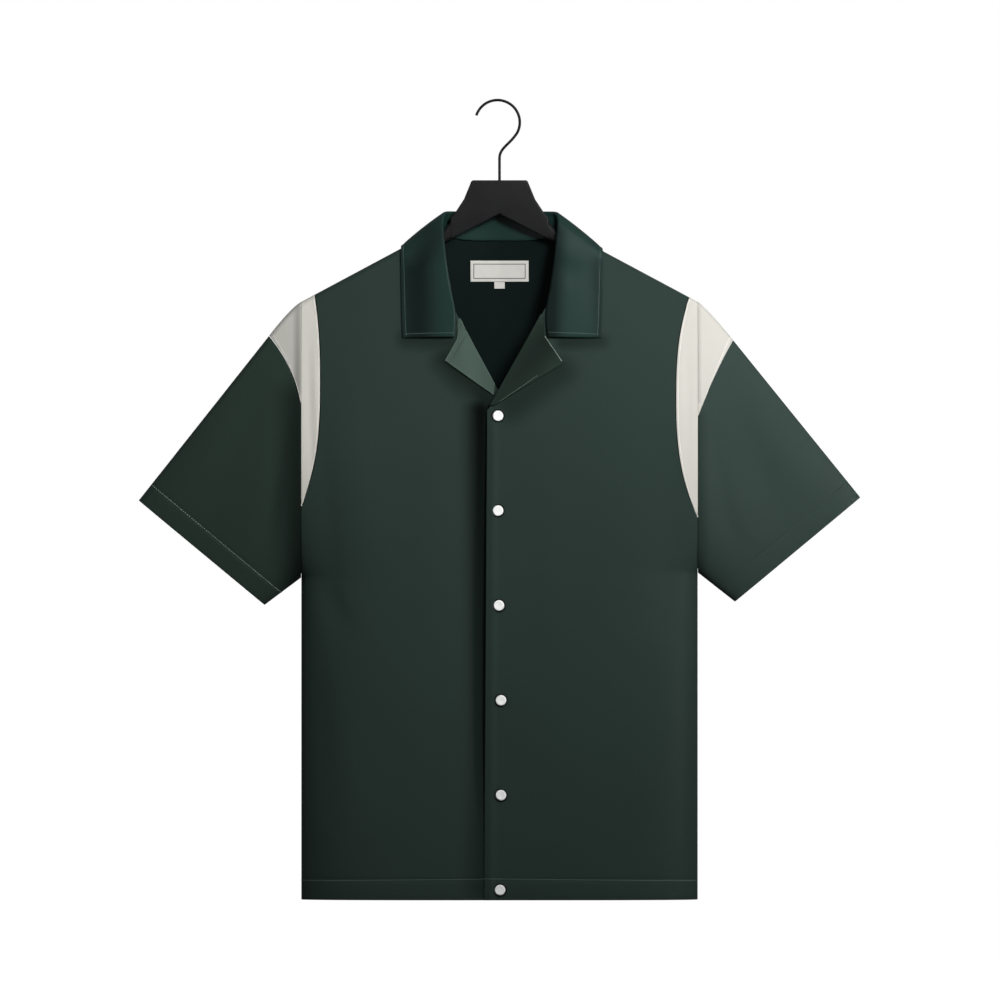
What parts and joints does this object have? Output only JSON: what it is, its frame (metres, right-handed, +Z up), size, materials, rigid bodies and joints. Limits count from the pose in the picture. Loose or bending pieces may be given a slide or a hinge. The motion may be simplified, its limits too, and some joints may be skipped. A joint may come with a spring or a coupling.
{
  "type": "short-sleeve camp-collar shirt on a hanger",
  "caption": "Short-sleeve dark green camp-collar shirt with cream armhole insets and white snaps, on a black hanger.",
  "frame": {"origin": "underside of the top of the hanger's hook, where a rail carries it", "axes": "+Z up, -Y out of the shirt's front, -X towards the wearer's right sleeve"},
  "size_m": [0.7938, 0.091, 0.8808],
  "materials": {
    "body_cloth": "dark green satin-faced twill, soft sheen",
    "inset_cloth": "warm cream twill, soft sheen",
    "facing_cloth": "green satin facing, brighter sheen",
    "label_cloth": "off-white woven satin tape, blank",
    "snap_caps": "pearl white domed caps",
    "hanger_plastic": "black, matt, fine moulded grain",
    "hook_wire": "black coated steel wire, half gloss"
  },
  "bodies": {
    "root": {"back": "body_cloth", "front_right": "body_cloth", "front_left": "body_cloth", "inset_front_right": "inset_cloth", "inset_front_left": "inset_cloth", "sleeve_right": "body_cloth", "sleeve_left": "body_cloth", "inset_sleeve_right": "inset_cloth", "inset_sleeve_left": "inset_cloth", "collar": "body_cloth", "lapel_right": "facing_cloth", "lapel_left": "facing_cloth", "neck_label": "label_cloth", "size_tab": "label_cloth", "snap_1": "snap_caps", "snap_2": "snap_caps", "snap_3": "snap_caps", "snap_4": "snap_caps", "snap_5": "snap_caps", "snap_6": "snap_caps", "hanger_body": "hanger_plastic", "hanger_hook": "hook_wire"}
  },
  "joints": []
}
